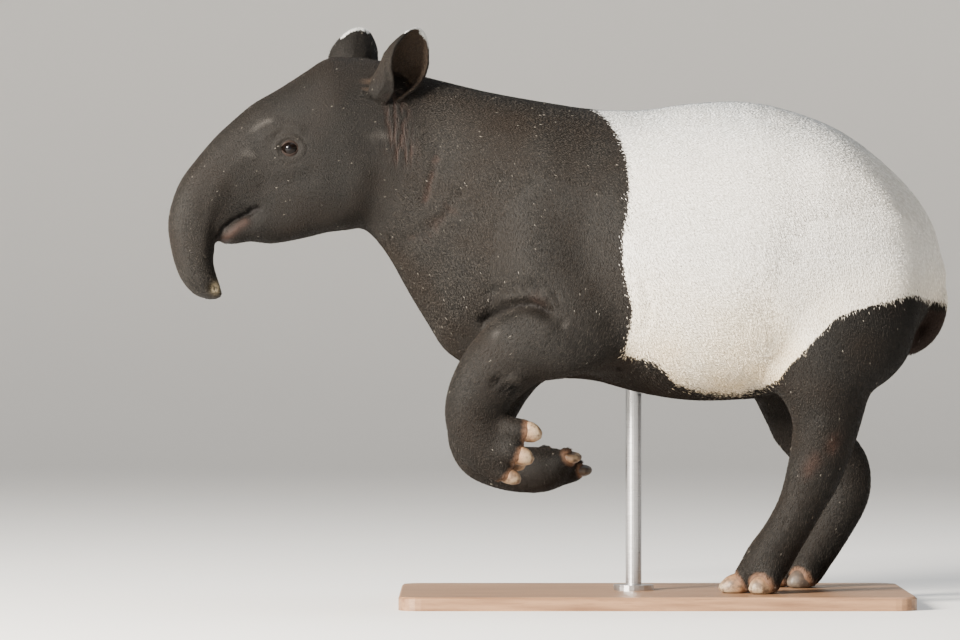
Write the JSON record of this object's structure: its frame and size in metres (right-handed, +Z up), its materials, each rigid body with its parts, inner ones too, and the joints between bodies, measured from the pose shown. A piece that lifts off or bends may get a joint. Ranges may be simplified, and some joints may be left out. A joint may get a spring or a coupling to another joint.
{
  "type": "malayan tapir",
  "caption": "Life-size Malayan tapir in a gallop, hind feet on a flat base and forelegs folded, with a black and white coat, on a display base with a rod.",
  "frame": {"origin": "on the floor, under the middle of the whole model's bounding box", "axes": "+Z up; the head points to -X and is turned a little to -Y; the animal's left side faces -Y"},
  "size_m": [1.7519, 0.66, 1.3],
  "materials": {
    "coat_black": "short dark coat, lying flat",
    "coat_white": "short white coat, lying flat",
    "hoof": "pale worn horn",
    "eye": "wet and glossy",
    "wood": "satin board",
    "steel": "brushed"
  },
  "bodies": {
    "root": {"barrel": "coat_white", "chest": "coat_black", "ear_left": "coat_black", "ear_right": "coat_black", "eye_left": "eye", "eye_right": "eye", "forearm_left": "coat_black", "forearm_right": "coat_black", "forefoot_left": "coat_black", "forefoot_right": "coat_black", "head": "coat_black", "hind_foot_left": "coat_black", "hind_foot_right": "coat_black", "hoof_fore_left_fifth": "hoof", "hoof_fore_left_fourth": "hoof", "hoof_fore_left_second": "hoof", "hoof_fore_left_third": "hoof", "hoof_fore_right_fifth": "hoof", "hoof_fore_right_fourth": "hoof", "hoof_fore_right_second": "hoof", "hoof_fore_right_third": "hoof", "hoof_hind_left_inner": "hoof", "hoof_hind_left_middle": "hoof", "hoof_hind_left_outer": "hoof", "hoof_hind_right_inner": "hoof", "hoof_hind_right_middle": "hoof", "hoof_hind_right_outer": "hoof", "lower_jaw": "coat_black", "neck": "coat_black", "proboscis": "coat_black", "rump": "coat_white", "shank_left": "coat_black", "shank_right": "coat_black", "stand_base": "wood", "stand_collar": "steel", "stand_rod": "steel", "tail": "coat_black", "thigh_left": "coat_black", "thigh_right": "coat_black", "upper_arm_left": "coat_black", "upper_arm_right": "coat_black"}
  },
  "joints": []
}
